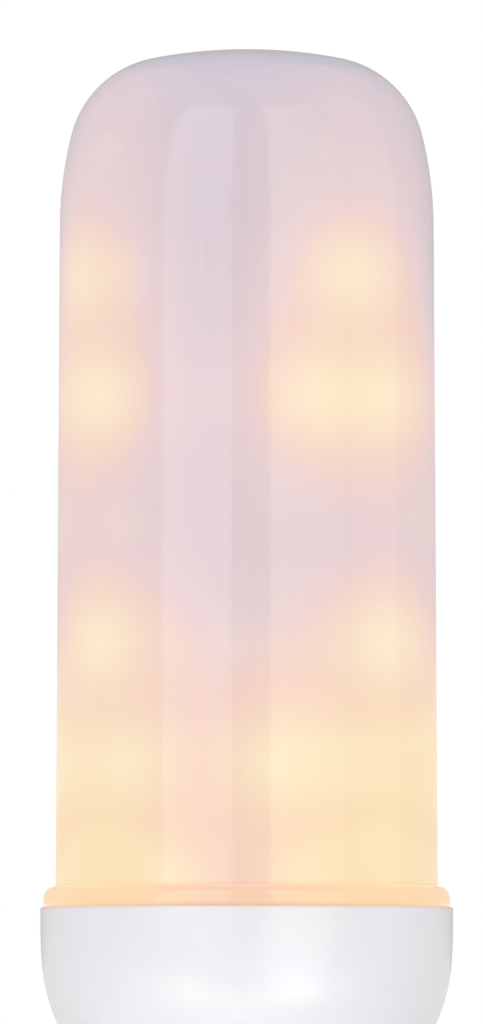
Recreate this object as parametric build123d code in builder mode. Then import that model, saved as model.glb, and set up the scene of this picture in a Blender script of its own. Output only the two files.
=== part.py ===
"""Flame-effect LED bulb with a 27 mm Edison screw cap.

A milky cover stands on a white bowl housing. Inside it, a moulded former carries a flexible
board with staggered rows of small LEDs, and a round driver board hangs under the former.
The bulb is upright with its cap down: the origin is the tip of the centre contact and +Z runs
up the axis to the dome. The front is towards -Y. Lengths are in millimetres, angles in degrees.
"""

import os
from math import acos, cos, degrees, radians, sin, tan

from build123d import *

# Fits: the play left between two pieces that go together
moulded_fit = 0.1
seat_fit = 0.05
hole_play = 0.3

# Screw cap, a drawn shell with a rolled knuckle thread of seven turns to the inch
cap_height = 26.0
cap_sheet = 0.3
shell_bottom = 4.6
shell_edge_taper = 0.9
thread_major_radius = 13.2
thread_depth = 1.15
thread_pitch = 3.629
thread_round = 1.025
thread_flank_angle = 40.0
thread_root_lift = 0.14
thread_foot_sink = 0.11
thread_bury = 0.1
thread_run_out = 0.05
thread_end_gap = 0.1
skirt_stand_out = 0.2
skirt_height = 4.2
skirt_step_rise = 0.7
cap_seam_angle = 40

# Insulator and centre contact
contact_radius = 4.8
contact_face_radius = 2.6
contact_thickness = 1.5
contact_rim = 0.5
shank_radius = 1.5
rivet_overhang = 0.9
rivet_height = 0.8
nose_ledge = 1.2
insulator_lip = 0.4
insulator_plate = 2.0

# Housing, a bowl on a neck
housing_radius = 31.05
housing_wall = 2.0
bowl_straight = 2.0
bowl_ease_radius = 90.0
bowl_ease_angle = 4.0
bowl_radius = 27.0
collar_ledge = 0.9
collar_height = 1.5
neck_wall = 2.0
rim_edge_taper = 0.3
inner_bowl_steps = 4
inner_foot_steps = 2

# Cover, a domed tube with a rounded flange and a skirt with four snap lugs
cover_height = 129.1
cover_wall = 1.4
cover_draft = 0.35
crown_angle = 11.0
shoulder_angle = 76.0
shoulder_radius = 15.5
ease_radius = 58.0
rim_ledge = 0.45
flange_overhang = 1.85
flange_height = 3.1
flange_round = 1.6
cover_skirt_depth = 6.0
lug_count = 4
lug_arc = 20.0
lug_height = 1.5
lug_reach = 0.6
lug_lead_in = 1.0
lug_drop = 3.2

# Former, flexible board and LEDs
former_gap = 10.05
former_wall = 1.5
former_top_gap = 6.0
former_top_taper = 1.0
former_flange_overhang = 3.2
former_flange_thickness = 2.0
ear_margin = 2.1
flex_thickness = 0.3
flex_margin = 3.2
flex_seam = 0.6
tail_arc = 30.0
tail_reach = 1.0
led_columns = 15
led_rows = 7
led_first_row = 2.9
led_top_margin = 9.0
led_phase = -92.0
led_width = 2.8
led_length = 3.5
led_thickness = 0.8

# Driver board and the bosses and screws that hold it
board_drop = 8.0
board_margin = 0.5
board_thickness = 1.2
boss_count = 2
boss_wall = 1.55
boss_start_angle = 90.0
web_thickness = 1.4
screw_radius = 1.2
screw_length = 9.0
screw_fit = 0.05
screw_head_overhang = 1.3
screw_head_gap = 1.6
screw_head_height = 1.6
screw_recess_length = 3.2
screw_recess_width = 0.7
screw_recess_depth = 0.8
pilot_extra_depth = 1.0

# Parts on the driver board: an inset from the former's bore and an angle place the tall ones
lead_width = 0.5
capacitor_radius = 4.0
capacitor_length = 12.5
capacitor_edge_taper = 0.5
capacitor_inset = 3.8
capacitor_angle = 45.0
capacitor_lead_pitch = 3.5
inductor_radius = 4.2
inductor_waist_radius = 3.1
inductor_length = 9.0
inductor_flange = 1.6
inductor_inset = 3.05
inductor_angle = 138.0
inductor_lead_pitch = 5.0
film_size = (10.0, 4.5, 8.5)
film_edge_taper = 0.6
film_inset = 3.7
film_angle = -52.0
film_lead_pitch = 7.5
resistor_radius = 1.7
resistor_length = 7.5
resistor_inset = 4.3
resistor_angle = -124.0
resistor_lead_pitch = 10.0
rectifier_size = (4.9, 4.0, 1.6)
rectifier_inset = 4.8
rectifier_lead_pitch = 2.5
driver_chip_size = (4.9, 3.9, 1.45)
driver_chip_x = -7.0
controller_size = (9.9, 3.9, 1.45)
controller_x = 4.5
chip_line_drop = 6.5
driver_chip_lead_count = 4
controller_lead_count = 8
chip_lead_pitch = 1.27
chip_lead_width = 0.45
chip_lead_thickness = 0.25
chip_lead_reach = 1.0
transistor_size = (2.9, 1.4, 1.0)
transistor_line_inset = 3.8
transistor_line_y = -5.0
transistor_lead_pitch = 1.9
lead_stub = 0.8

# Wires from the board to the cap
wire_radius = 0.6
wire_bend_radius = 2.0
live_place = (2.0, 3.5)
neutral_place = (-3.0, 0.5)
neutral_angle = 200.0

# Levels and radii worked out from the sizes above
thread_minor_radius = thread_major_radius - thread_depth
core_radius = thread_minor_radius + thread_root_lift
core_bore = core_radius - cap_sheet
skirt_radius = thread_major_radius + skirt_stand_out
skirt_bore = skirt_radius - cap_sheet
step_level = cap_height - skirt_height - skirt_step_rise
neck_radius = core_bore - moulded_fit
neck_wide_radius = skirt_bore - moulded_fit
neck_bore = neck_radius - neck_wall
plate_level = shell_bottom + cap_sheet + seat_fit
neck_bottom = plate_level + insulator_plate + seat_fit
rivet_level = plate_level + insulator_plate + seat_fit
rivet_top = rivet_level + rivet_height
rivet_radius = shank_radius + rivet_overhang
insulator_nose_radius = contact_radius + nose_ledge
collar_radius = skirt_radius + collar_ledge

# The bowl runs down from the rim: a short straight, an easing arc and the main arc to the collar
bowl_centre_radius = (
    housing_radius
    - bowl_ease_radius * (1 - cos(radians(bowl_ease_angle)))
    - bowl_radius * cos(radians(bowl_ease_angle))
)
bowl_foot_angle = degrees(acos((collar_radius - bowl_centre_radius) / bowl_radius))
bowl_centre_drop = bowl_straight + (bowl_ease_radius - bowl_radius) * sin(radians(bowl_ease_angle))
bowl_drop = bowl_centre_drop + bowl_radius * sin(radians(bowl_foot_angle))
collar_level = cap_height + seat_fit
rim_level = collar_level + collar_height + bowl_drop
rim_bore = housing_radius - housing_wall

# The cover stands on the rim; its flange and its wall step in from the rim's edge
flange_radius = housing_radius - rim_ledge
cover_radius = flange_radius - flange_overhang
cover_bore = cover_radius - cover_wall
cover_top = rim_level + cover_height
skirt_squeeze = bowl_ease_radius * (1 - cos(radians(bowl_ease_angle)))
cover_skirt_radius = rim_bore - moulded_fit - skirt_squeeze
lug_level = rim_level - lug_drop

# The dome runs from the axis outwards: crown arc, shoulder arc, easing arc, then the drafted wall
wall_angle = 90 - cover_draft
shoulder_run = shoulder_radius * (sin(radians(shoulder_angle)) - sin(radians(crown_angle)))
shoulder_fall = shoulder_radius * (cos(radians(crown_angle)) - cos(radians(shoulder_angle)))
ease_run = ease_radius * (sin(radians(wall_angle)) - sin(radians(shoulder_angle)))
ease_fall = ease_radius * (cos(radians(shoulder_angle)) - cos(radians(wall_angle)))
crown_slope = tan(radians(crown_angle / 2))
dome_room = cover_height - flange_height - shoulder_fall - ease_fall
wall_length = (dome_room - crown_slope * (cover_radius - shoulder_run - ease_run)) / (
    1 - crown_slope * tan(radians(cover_draft))
)
wall_top_radius = cover_radius - wall_length * tan(radians(cover_draft))
crown_radius = (wall_top_radius - shoulder_run - ease_run) / sin(radians(crown_angle))

# The former stands inside the cover; its ears, the bosses and the board follow from it
former_radius = cover_bore - former_gap
former_bore = former_radius - former_wall
former_flange_radius = former_radius + former_flange_overhang
screw_head_radius = screw_radius + screw_head_overhang
boss_circle = former_radius + screw_head_gap + screw_head_radius
boss_radius = screw_radius + screw_fit + boss_wall
ear_radius = screw_radius + hole_play + ear_margin
board_radius = boss_circle + ear_radius + board_margin
board_level = rim_level - board_drop
flange_level = board_level + board_thickness + seat_fit
former_top = cover_top - cover_wall - former_top_gap
flex_radius = former_radius + seat_fit
flex_face = flex_radius + flex_thickness
led_back = flex_face + seat_fit / 2
first_row_level = rim_level + led_first_row
led_row_pitch = (former_top - led_top_margin - first_row_level) / (led_rows - 1)
row_levels = [first_row_level + led_row_pitch * row for row in range(led_rows)]
column_angle = 360 / led_columns
seam_angle = led_phase + column_angle * (led_columns // 2) + column_angle / 4
tail_angle = boss_start_angle - 180 / boss_count
screw_seat = flange_level + former_flange_thickness + seat_fit
boss_top = board_level - seat_fit
board_top = board_level + board_thickness
top_parts_level = board_top + seat_fit
under_parts_level = board_level - seat_fit
lead_hole = lead_width + 2 * moulded_fit


def board_place(inset, angle):
    """The x and y of a place on the driver board, an inset inside the former's bore."""
    radius = former_bore - inset
    return (radius * cos(radians(angle)), radius * sin(radians(angle)))


capacitor_place = board_place(capacitor_inset, capacitor_angle)
inductor_place = board_place(inductor_inset, inductor_angle)
film_place = board_place(film_inset, film_angle)
resistor_place = board_place(resistor_inset, resistor_angle)
rectifier_place = (0, former_bore - rectifier_inset)
chip_line_y = former_bore - rectifier_inset - chip_line_drop
driver_chip_place = (driver_chip_x, chip_line_y)
controller_place = (controller_x, chip_line_y)
transistor_pitch = 2 * (former_bore - transistor_line_inset) / (led_rows - 1)

os.makedirs("parts", exist_ok=True)


def ring_sector(inner_radius, outer_radius, start, arc, level, height):
    """A curved slab between two radii, from a start angle round by an arc."""
    with BuildPart() as sector:
        with BuildSketch(Plane.XY.offset(level)):
            with BuildLine():
                outer = CenterArc((0, 0), outer_radius, start, arc)
                inner = CenterArc((0, 0), inner_radius, start, arc)
                Line(outer @ 0, inner @ 0)
                Line(outer @ 1, inner @ 1)
            make_face()
        extrude(amount=height)
    return sector.part


# Screw cap: a rolled ridge with run-outs on a drawn shell
def rolled_ridge():
    """One helical ridge, crest and flanks, that stands on the shell's straight wall."""
    slope = radians(thread_flank_angle)
    foot_radius = core_radius - thread_foot_sink
    buried_radius = foot_radius - thread_bury
    flank_radius = thread_major_radius - thread_round * (1 - cos(slope))
    flank = thread_round * sin(slope)
    foot = flank + (flank_radius - foot_radius) / tan(slope)
    start = shell_bottom + shell_edge_taper + thread_end_gap + foot
    height = step_level - thread_end_gap - foot - start
    with BuildPart() as ridge:
        with BuildLine() as path:
            Helix(thread_pitch, height, foot_radius, center=(0, 0, start))
        with BuildSketch(Plane.XZ):
            with BuildLine():
                lower = Line((buried_radius, start - foot), (foot_radius, start - foot))
                rise = Line(lower @ 1, (flank_radius, start - flank))
                crest = RadiusArc(rise @ 1, (flank_radius, start + flank), -thread_round)
                fall = Line(crest @ 1, (foot_radius, start + foot))
                upper = Line(fall @ 1, (buried_radius, start + foot))
                Line(upper @ 1, lower @ 0)
            make_face()
        sweep(path=path.line, is_frenet=True)
        # a flat cut at each end lets the ridge run out into the wall
        for turn, level in ((0, start), (360 * height / thread_pitch, start + height)):
            with Locations(Location((0, 0, level), (0, 0, turn))):
                with Locations((core_radius - thread_run_out, 0, 0)):
                    Box(
                        thread_major_radius,
                        2 * thread_major_radius,
                        thread_pitch,
                        align=(Align.MIN, Align.CENTER, Align.CENTER),
                        mode=Mode.SUBTRACT,
                    )
    return ridge.part


with BuildPart() as screw_cap:
    with BuildSketch(Plane.XZ.rotated((0, 0, cap_seam_angle))):
        with BuildLine():
            Polyline(
                (core_radius - shell_edge_taper, shell_bottom),
                (core_radius, shell_bottom + shell_edge_taper),
                (core_radius, step_level),
                (skirt_radius, step_level + skirt_step_rise),
                (skirt_radius, cap_height),
            )
            offset(amount=cap_sheet, side=Side.LEFT, kind=Kind.INTERSECTION)
        make_face()
    revolve(axis=Axis.Z)
    add(rolled_ridge())
screw_cap.part.label = "screw_cap"
export_step(screw_cap.part, "parts/screw_cap.step")

# Insulator: a nose cone under the shell and a plate inside its turned edge
with BuildPart() as cap_insulator:
    with BuildSketch(Plane.XZ):
        with BuildLine():
            nose_level = contact_thickness + seat_fit
            edge_mitre = tan(radians(45 / 2))
            lip_radius = core_radius - shell_edge_taper - insulator_lip
            plate_radius = core_bore - seat_fit
            plate_taper = shell_edge_taper - (plate_level - shell_bottom) * (1 - edge_mitre)
            hole_radius = shank_radius + seat_fit
            Polyline(
                (hole_radius, nose_level),
                (insulator_nose_radius, nose_level),
                (lip_radius, shell_bottom),
                (lip_radius, plate_level),
                (plate_radius - plate_taper, plate_level),
                (plate_radius, plate_level + plate_taper),
                (plate_radius, plate_level + insulator_plate),
                (hole_radius, plate_level + insulator_plate),
                close=True,
            )
        make_face()
    revolve(axis=Axis.Z)
cap_insulator.part.label = "cap_insulator"
export_step(cap_insulator.part, "parts/cap_insulator.step")

# Centre contact: a rivet through the insulator with a wide flat-tipped head
with BuildPart() as centre_contact:
    with BuildSketch(Plane.XZ):
        with BuildLine():
            Polyline(
                (0, 0),
                (contact_face_radius, 0),
                (contact_radius, contact_thickness - contact_rim),
                (contact_radius, contact_thickness),
                (shank_radius, contact_thickness),
                (shank_radius, rivet_level),
                (rivet_radius, rivet_level),
                (rivet_radius, rivet_top),
                (0, rivet_top),
                close=True,
            )
        make_face()
    revolve(axis=Axis.Z)
centre_contact.part.label = "centre_contact"
export_step(centre_contact.part, "parts/centre_contact.step")


# Housing: bowl, collar and neck, with bosses for the driver board and pockets for the lugs
def bowl_solid():
    """The housing's outside as a full solid, down to the neck's lower edge."""
    neck_step = step_level + cap_sheet + moulded_fit
    with BuildPart() as solid:
        with BuildSketch(Plane.XZ):
            with BuildLine():
                side = Polyline(
                    (0, rim_level),
                    (housing_radius - rim_edge_taper, rim_level),
                    (housing_radius, rim_level - rim_edge_taper),
                    (housing_radius, rim_level - bowl_straight),
                )
                ease = JernArc(side @ 1, (0, -1), bowl_ease_radius, -bowl_ease_angle)
                bowl = JernArc(ease @ 1, ease % 1, bowl_radius, bowl_ease_angle - bowl_foot_angle)
                Polyline(
                    bowl @ 1,
                    (collar_radius, collar_level),
                    (neck_wide_radius, collar_level),
                    (neck_wide_radius, neck_step + skirt_step_rise),
                    (neck_radius, neck_step),
                    (neck_radius, neck_bottom),
                    (0, neck_bottom),
                    (0, rim_level),
                )
            make_face()
        revolve(axis=Axis.Z)
    return solid.part


def hollow_points(wall):
    """Profile of the hollow at a depth below the outside: short cones that ease into the neck."""
    radius = bowl_radius - wall
    centre_level = rim_level - bowl_centre_drop
    slope = radians(bowl_foot_angle)
    bore = neck_radius - neck_wall * wall / housing_wall
    ease = (bowl_centre_radius + radius * cos(slope) - bore) / (1 - cos(slope))
    start = housing_radius - wall
    points = [(0, rim_level), (start, rim_level), (start, rim_level - bowl_straight)]
    for step in range(inner_bowl_steps + 1):
        turn = radians(bowl_ease_angle) + (slope - radians(bowl_ease_angle)) * step / inner_bowl_steps
        points.append((bowl_centre_radius + radius * cos(turn), centre_level - radius * sin(turn)))
    for step in range(1, inner_foot_steps + 1):
        turn = slope * (1 - step / inner_foot_steps)
        fall = radius * sin(slope) + ease * (sin(slope) - sin(turn))
        points.append((bore + ease * (1 - cos(turn)), centre_level - fall))
    return points + [(bore, neck_bottom), (0, neck_bottom)]


pocket_radius = cover_skirt_radius + lug_reach + moulded_fit
pocket_arc = lug_arc + 2 * degrees(moulded_fit / cover_skirt_radius)
pocket_level = lug_level - lug_height / 2 - moulded_fit
pocket_height = lug_height + 2 * moulded_fit
web_length = rim_bore - boss_circle

with BuildPart() as board_bosses:
    with BuildSketch(Plane.XY.offset(boss_top)):
        with PolarLocations(boss_circle, boss_count, start_angle=boss_start_angle):
            Circle(boss_radius)
            Rectangle(web_length, web_thickness, align=(Align.MIN, Align.CENTER))
    extrude(amount=neck_bottom - boss_top)
    with BuildSketch(Plane.XZ):
        with BuildLine():
            Polyline(*hollow_points(housing_wall / 2), close=True)
        make_face()
    revolve(axis=Axis.Z, mode=Mode.INTERSECT)

with BuildPart() as housing:
    add(bowl_solid())
    with BuildSketch(Plane.XZ):
        with BuildLine():
            Polyline(*hollow_points(housing_wall), close=True)
        make_face()
    revolve(axis=Axis.Z, mode=Mode.SUBTRACT)
    add(board_bosses.part)
    with BuildSketch(Plane.XY.offset(boss_top)):
        with PolarLocations(boss_circle, boss_count, start_angle=boss_start_angle):
            Circle(screw_radius + screw_fit)
    extrude(amount=screw_seat - screw_length - pilot_extra_depth - boss_top, mode=Mode.SUBTRACT)
    for index in range(lug_count):
        start = 360 / lug_count * index - pocket_arc / 2
        pocket = ring_sector(cover_bore, pocket_radius, start, pocket_arc, pocket_level, pocket_height)
        add(pocket, mode=Mode.SUBTRACT)
    # the neutral wire leaves through a notch in the neck's lower edge
    with Locations(Location((0, 0, neck_bottom), (0, 0, neutral_angle))):
        Box(
            neck_wide_radius,
            2 * (wire_radius + hole_play),
            2 * (wire_radius + hole_play) + wire_radius,
            align=(Align.MIN, Align.CENTER, Align.MIN),
            mode=Mode.SUBTRACT,
        )
housing.part.label = "housing"
export_step(housing.part, "parts/housing.step")

# Cover: dome, drafted wall, flange on the housing's rim, and a skirt with snap lugs inside it
with BuildPart() as diffuser_cover:
    with BuildSketch(Plane.XZ):
        with BuildLine():
            crown = JernArc((0, cover_top), (1, 0), crown_radius, -crown_angle)
            shoulder = JernArc(crown @ 1, crown % 1, shoulder_radius, crown_angle - shoulder_angle)
            ease = JernArc(shoulder @ 1, shoulder % 1, ease_radius, shoulder_angle - wall_angle)
            wall = Line(ease @ 1, (cover_radius, rim_level + flange_height))
            ledge = Line(wall @ 1, (flange_radius - flange_round, rim_level + flange_height))
            corner = JernArc(ledge @ 1, (1, 0), flange_round, -90)
            foot = Polyline(
                corner @ 1,
                (flange_radius, rim_level + seat_fit),
                (cover_skirt_radius, rim_level + seat_fit),
                (cover_skirt_radius, rim_level - cover_skirt_depth),
                (cover_bore, rim_level - cover_skirt_depth),
                (cover_bore, rim_level + flange_height),
            )
            inner_crown = JernArc(
                (0, cover_top - cover_wall), (1, 0), crown_radius - cover_wall, -crown_angle
            )
            inner_shoulder = JernArc(
                inner_crown @ 1, inner_crown % 1, shoulder_radius - cover_wall, crown_angle - shoulder_angle
            )
            inner_ease = JernArc(
                inner_shoulder @ 1, inner_shoulder % 1, ease_radius - cover_wall, shoulder_angle - wall_angle
            )
            Line(foot @ 1, inner_ease @ 1)
            Line((0, cover_top - cover_wall), (0, cover_top))
        make_face()
    revolve(axis=Axis.Z)
    with BuildSketch(Plane.XZ.rotated((0, 0, -lug_arc / 2))):
        with BuildLine():
            Polyline(
                (cover_skirt_radius - cover_wall / 2, lug_level - lug_height / 2),
                (cover_skirt_radius, lug_level - lug_height / 2),
                (cover_skirt_radius + lug_reach, lug_level - lug_height / 2 + lug_lead_in),
                (cover_skirt_radius + lug_reach, lug_level + lug_height / 2),
                (cover_skirt_radius - cover_wall / 2, lug_level + lug_height / 2),
                close=True,
            )
        make_face()
    lug = revolve(axis=Axis.Z, revolution_arc=lug_arc, mode=Mode.PRIVATE)
    with PolarLocations(0, lug_count):
        add(lug)
diffuser_cover.part.label = "diffuser_cover"
export_step(diffuser_cover.part, "parts/diffuser_cover.step")

# Driver board: a round board on the bosses, with holes for screws, leads and the flexible tail
lead_places = []
for (x, y), pitch in (
    (capacitor_place, capacitor_lead_pitch),
    (inductor_place, inductor_lead_pitch),
    (film_place, film_lead_pitch),
    (resistor_place, resistor_lead_pitch),
):
    lead_places += [(x - pitch / 2, y), (x + pitch / 2, y)]


def tail_slot(level, height):
    """A curved slot, with play all round, for the flexible board's tail."""
    arc = tail_arc + 2 * degrees(hole_play / flex_face)
    inner_radius = flex_radius - hole_play
    return ring_sector(inner_radius, flex_face + hole_play, tail_angle - arc / 2, arc, level, height)


with BuildPart() as driver_board:
    with BuildSketch(Plane.XY.offset(board_level)):
        Circle(board_radius)
        with PolarLocations(boss_circle, boss_count, start_angle=boss_start_angle):
            Circle(screw_radius + hole_play, mode=Mode.SUBTRACT)
        with Locations(*lead_places):
            Rectangle(lead_hole, lead_hole, mode=Mode.SUBTRACT)
    extrude(amount=board_thickness)
    add(tail_slot(board_level, board_thickness), mode=Mode.SUBTRACT)
driver_board.part.label = "driver_board"
export_step(driver_board.part, "parts/driver_board.step")

# Former: a closed tube with a foot flange, screwed down through the board
with BuildPart() as led_former:
    with BuildSketch(Plane.XY.offset(flange_level)):
        Circle(former_flange_radius)
        with PolarLocations(boss_circle, boss_count, start_angle=boss_start_angle):
            Circle(ear_radius)
            Circle(screw_radius + hole_play, mode=Mode.SUBTRACT)
        Circle(former_bore, mode=Mode.SUBTRACT)
    extrude(amount=former_flange_thickness)
    with BuildSketch(Plane.XZ):
        with BuildLine():
            Polyline(
                (0, former_top),
                (former_radius - former_top_taper, former_top),
                (former_radius, former_top - former_top_taper),
                (former_radius, flange_level),
                (former_bore, flange_level),
                (former_bore, former_top - former_wall),
                (0, former_top - former_wall),
                close=True,
            )
        make_face()
    revolve(axis=Axis.Z)
    add(tail_slot(flange_level, former_flange_thickness), mode=Mode.SUBTRACT)
led_former.part.label = "led_former"
export_step(led_former.part, "parts/led_former.step")

# Former screws: pan heads with a cross recess
with BuildPart() as former_screws:
    with PolarLocations(boss_circle, boss_count, start_angle=boss_start_angle):
        with Locations((0, 0, screw_seat)):
            Cylinder(screw_head_radius, screw_head_height, align=(Align.CENTER, Align.CENTER, Align.MIN))
            Cylinder(screw_radius, screw_length, align=(Align.CENTER, Align.CENTER, Align.MAX))
        with Locations((0, 0, screw_seat + screw_head_height)):
            for length, width in (
                (screw_recess_length, screw_recess_width),
                (screw_recess_width, screw_recess_length),
            ):
                Box(
                    length,
                    width,
                    screw_recess_depth,
                    align=(Align.CENTER, Align.CENTER, Align.MAX),
                    mode=Mode.SUBTRACT,
                )
former_screws.part.label = "former_screws"
export_step(former_screws.part, "parts/former_screws.step")

# Flexible board: rolled round the former with a seam at the back and a tail through the boards
flex_bottom = row_levels[0] - led_length / 2 - flex_margin
flex_height = row_levels[-1] - row_levels[0] + led_length + 2 * flex_margin
flex_arc = 360 - degrees(flex_seam / flex_radius)
flex_start = seam_angle + (360 - flex_arc) / 2
tail_bottom = board_level - tail_reach

tail_start = tail_angle - tail_arc / 2
tail_height = flex_bottom - tail_bottom

with BuildPart() as led_flex_board:
    add(ring_sector(flex_radius, flex_face, flex_start, flex_arc, flex_bottom, flex_height))
    add(ring_sector(flex_radius, flex_face, tail_start, tail_arc, tail_bottom, tail_height))
led_flex_board.part.label = "led_flex_board"
export_step(led_flex_board.part, "parts/led_flex_board.step")

# LEDs: one ring of separate packages for each row, every other row turned by half a column
for row, level in enumerate(row_levels):
    ring_start = led_phase + column_angle / 2 * (row % 2)
    with BuildPart() as led_row:
        with Locations((0, 0, level)):
            with PolarLocations(led_back, led_columns, start_angle=ring_start):
                Box(led_thickness, led_width, led_length, align=(Align.MIN, Align.CENTER, Align.CENTER))
    led_row.part.label = f"led_row_{row + 1}"
    export_step(led_row.part, f"parts/led_row_{row + 1}.step")


# Parts under the driver board, each with two leads through it
def board_leads(place, pitch, level):
    """Two upright leads from a level under the board to a stub above it."""
    with BuildPart() as leads:
        with BuildSketch(Plane.XY.offset(level)):
            with Locations((place[0] - pitch / 2, place[1]), (place[0] + pitch / 2, place[1])):
                Rectangle(lead_width, lead_width)
        extrude(amount=board_top + lead_stub - level)
    return leads.part


with BuildPart() as bulk_capacitor:
    with Locations((*capacitor_place, under_parts_level)):
        Cylinder(capacitor_radius, capacitor_length, align=(Align.CENTER, Align.CENTER, Align.MAX))
    chamfer(bulk_capacitor.edges().group_by(Axis.Z)[0], capacitor_edge_taper)
    add(board_leads(capacitor_place, capacitor_lead_pitch, under_parts_level - capacitor_length / 2))
bulk_capacitor.part.label = "bulk_capacitor"
export_step(bulk_capacitor.part, "parts/bulk_capacitor.step")

with BuildPart() as drum_inductor:
    with Locations((*inductor_place, under_parts_level)):
        Cylinder(inductor_radius, inductor_length, align=(Align.CENTER, Align.CENTER, Align.MAX))
    with BuildSketch(Plane.XY.offset(under_parts_level - inductor_flange)):
        with Locations(inductor_place):
            Circle(inductor_radius)
            Circle(inductor_waist_radius, mode=Mode.SUBTRACT)
    extrude(amount=2 * inductor_flange - inductor_length, mode=Mode.SUBTRACT)
    add(board_leads(inductor_place, inductor_lead_pitch, under_parts_level - inductor_flange))
drum_inductor.part.label = "drum_inductor"
export_step(drum_inductor.part, "parts/drum_inductor.step")

with BuildPart() as film_capacitor:
    with Locations((*film_place, under_parts_level)):
        Box(*film_size, align=(Align.CENTER, Align.CENTER, Align.MAX))
    chamfer(film_capacitor.edges().filter_by(Axis.Z), film_edge_taper)
    add(board_leads(film_place, film_lead_pitch, under_parts_level - film_size[2] / 2))
film_capacitor.part.label = "film_capacitor"
export_step(film_capacitor.part, "parts/film_capacitor.step")

with BuildPart() as fusible_resistor:
    with BuildSketch(Plane.XY.offset(under_parts_level - resistor_radius)):
        with Locations(resistor_place):
            Rectangle(resistor_length, resistor_radius, align=(Align.CENTER, Align.MIN))
    resistor_axis = Axis((0, resistor_place[1], under_parts_level - resistor_radius), (1, 0, 0))
    revolve(axis=resistor_axis)
    with Locations((*resistor_place, under_parts_level - resistor_radius)):
        Box(resistor_lead_pitch + lead_width, lead_width, lead_width)
    add(board_leads(resistor_place, resistor_lead_pitch, under_parts_level - resistor_radius))
fusible_resistor.part.label = "fusible_resistor"
export_step(fusible_resistor.part, "parts/fusible_resistor.step")


# Chips on top of the driver board, bodies with flat leads on two sides
def flat_lead_chip(places, size, front_leads, back_leads):
    """Chip bodies at the given places, with leads at the given x along the front and the back."""
    with BuildPart() as chips:
        with Locations(*[(*place, top_parts_level) for place in places]):
            Box(*size, align=(Align.CENTER, Align.CENTER, Align.MIN))
            for direction, leads in ((-1, front_leads), (1, back_leads)):
                with Locations(*[(x, direction * size[1] / 4, 0) for x in leads]):
                    Box(
                        chip_lead_width,
                        size[1] / 2 + 2 * chip_lead_reach,
                        chip_lead_thickness,
                        align=(Align.CENTER, Align.CENTER, Align.MIN),
                    )
    return chips.part


rectifier_leads = [-rectifier_lead_pitch / 2, rectifier_lead_pitch / 2]
with BuildPart() as bridge_rectifier:
    add(flat_lead_chip([rectifier_place], rectifier_size, rectifier_leads, rectifier_leads))
bridge_rectifier.part.label = "bridge_rectifier"
export_step(bridge_rectifier.part, "parts/bridge_rectifier.step")

driver_leads = [
    chip_lead_pitch * (index - (driver_chip_lead_count - 1) / 2) for index in range(driver_chip_lead_count)
]
with BuildPart() as driver_chip:
    add(flat_lead_chip([driver_chip_place], driver_chip_size, driver_leads, driver_leads))
driver_chip.part.label = "driver_chip"
export_step(driver_chip.part, "parts/driver_chip.step")

controller_leads = [
    chip_lead_pitch * (index - (controller_lead_count - 1) / 2) for index in range(controller_lead_count)
]
with BuildPart() as flame_controller:
    add(flat_lead_chip([controller_place], controller_size, controller_leads, controller_leads))
flame_controller.part.label = "flame_controller"
export_step(flame_controller.part, "parts/flame_controller.step")

transistor_places = [
    (transistor_pitch * (index - (led_rows - 1) / 2), transistor_line_y) for index in range(led_rows)
]
back_leads = [-transistor_lead_pitch / 2, transistor_lead_pitch / 2]
with BuildPart() as row_transistors:
    add(flat_lead_chip(transistor_places, transistor_size, [0], back_leads))
row_transistors.part.label = "row_transistors"
export_step(row_transistors.part, "parts/row_transistors.step")


# Wires from pads under the driver board to the rivet and to the shell
def wire(points):
    """A round wire along a line of points, with rounded bends."""
    with BuildPart() as round_wire:
        with BuildLine() as path:
            FilletPolyline(*points, radius=wire_bend_radius)
        with BuildSketch(Plane(points[0], z_dir=(0, 0, -1))):
            Circle(wire_radius)
        sweep(path=path.line)
    return round_wire.part


wire_drop = rim_level - collar_level
with BuildPart() as live_wire:
    add(
        wire(
            [
                (*live_place, under_parts_level),
                (*live_place, under_parts_level - wire_drop / 2),
                (0, 0, rivet_top + wire_drop / 4),
                (0, 0, rivet_top + seat_fit),
            ]
        )
    )
live_wire.part.label = "live_wire"
export_step(live_wire.part, "parts/live_wire.step")

notch_level = neck_bottom + wire_radius + hole_play
wire_end = core_bore - seat_fit
along = (cos(radians(neutral_angle)), sin(radians(neutral_angle)))
with BuildPart() as neutral_wire:
    add(
        wire(
            [
                (*neutral_place, under_parts_level),
                (*neutral_place, under_parts_level - wire_drop / 2),
                ((neck_bore / 2) * along[0], (neck_bore / 2) * along[1], notch_level),
                (wire_end * along[0], wire_end * along[1], notch_level),
            ]
        )
    )
neutral_wire.part.label = "neutral_wire"
export_step(neutral_wire.part, "parts/neutral_wire.step")
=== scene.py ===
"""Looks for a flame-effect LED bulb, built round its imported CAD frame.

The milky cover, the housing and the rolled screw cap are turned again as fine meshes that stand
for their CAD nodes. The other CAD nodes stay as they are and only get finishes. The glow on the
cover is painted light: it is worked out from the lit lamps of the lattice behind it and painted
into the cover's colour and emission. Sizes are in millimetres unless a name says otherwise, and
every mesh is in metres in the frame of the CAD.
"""

from __future__ import annotations

import logging
import math
from abc import ABC, abstractmethod
from dataclasses import dataclass, field
from enum import Enum
from typing import Callable, Iterator, Sequence

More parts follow.
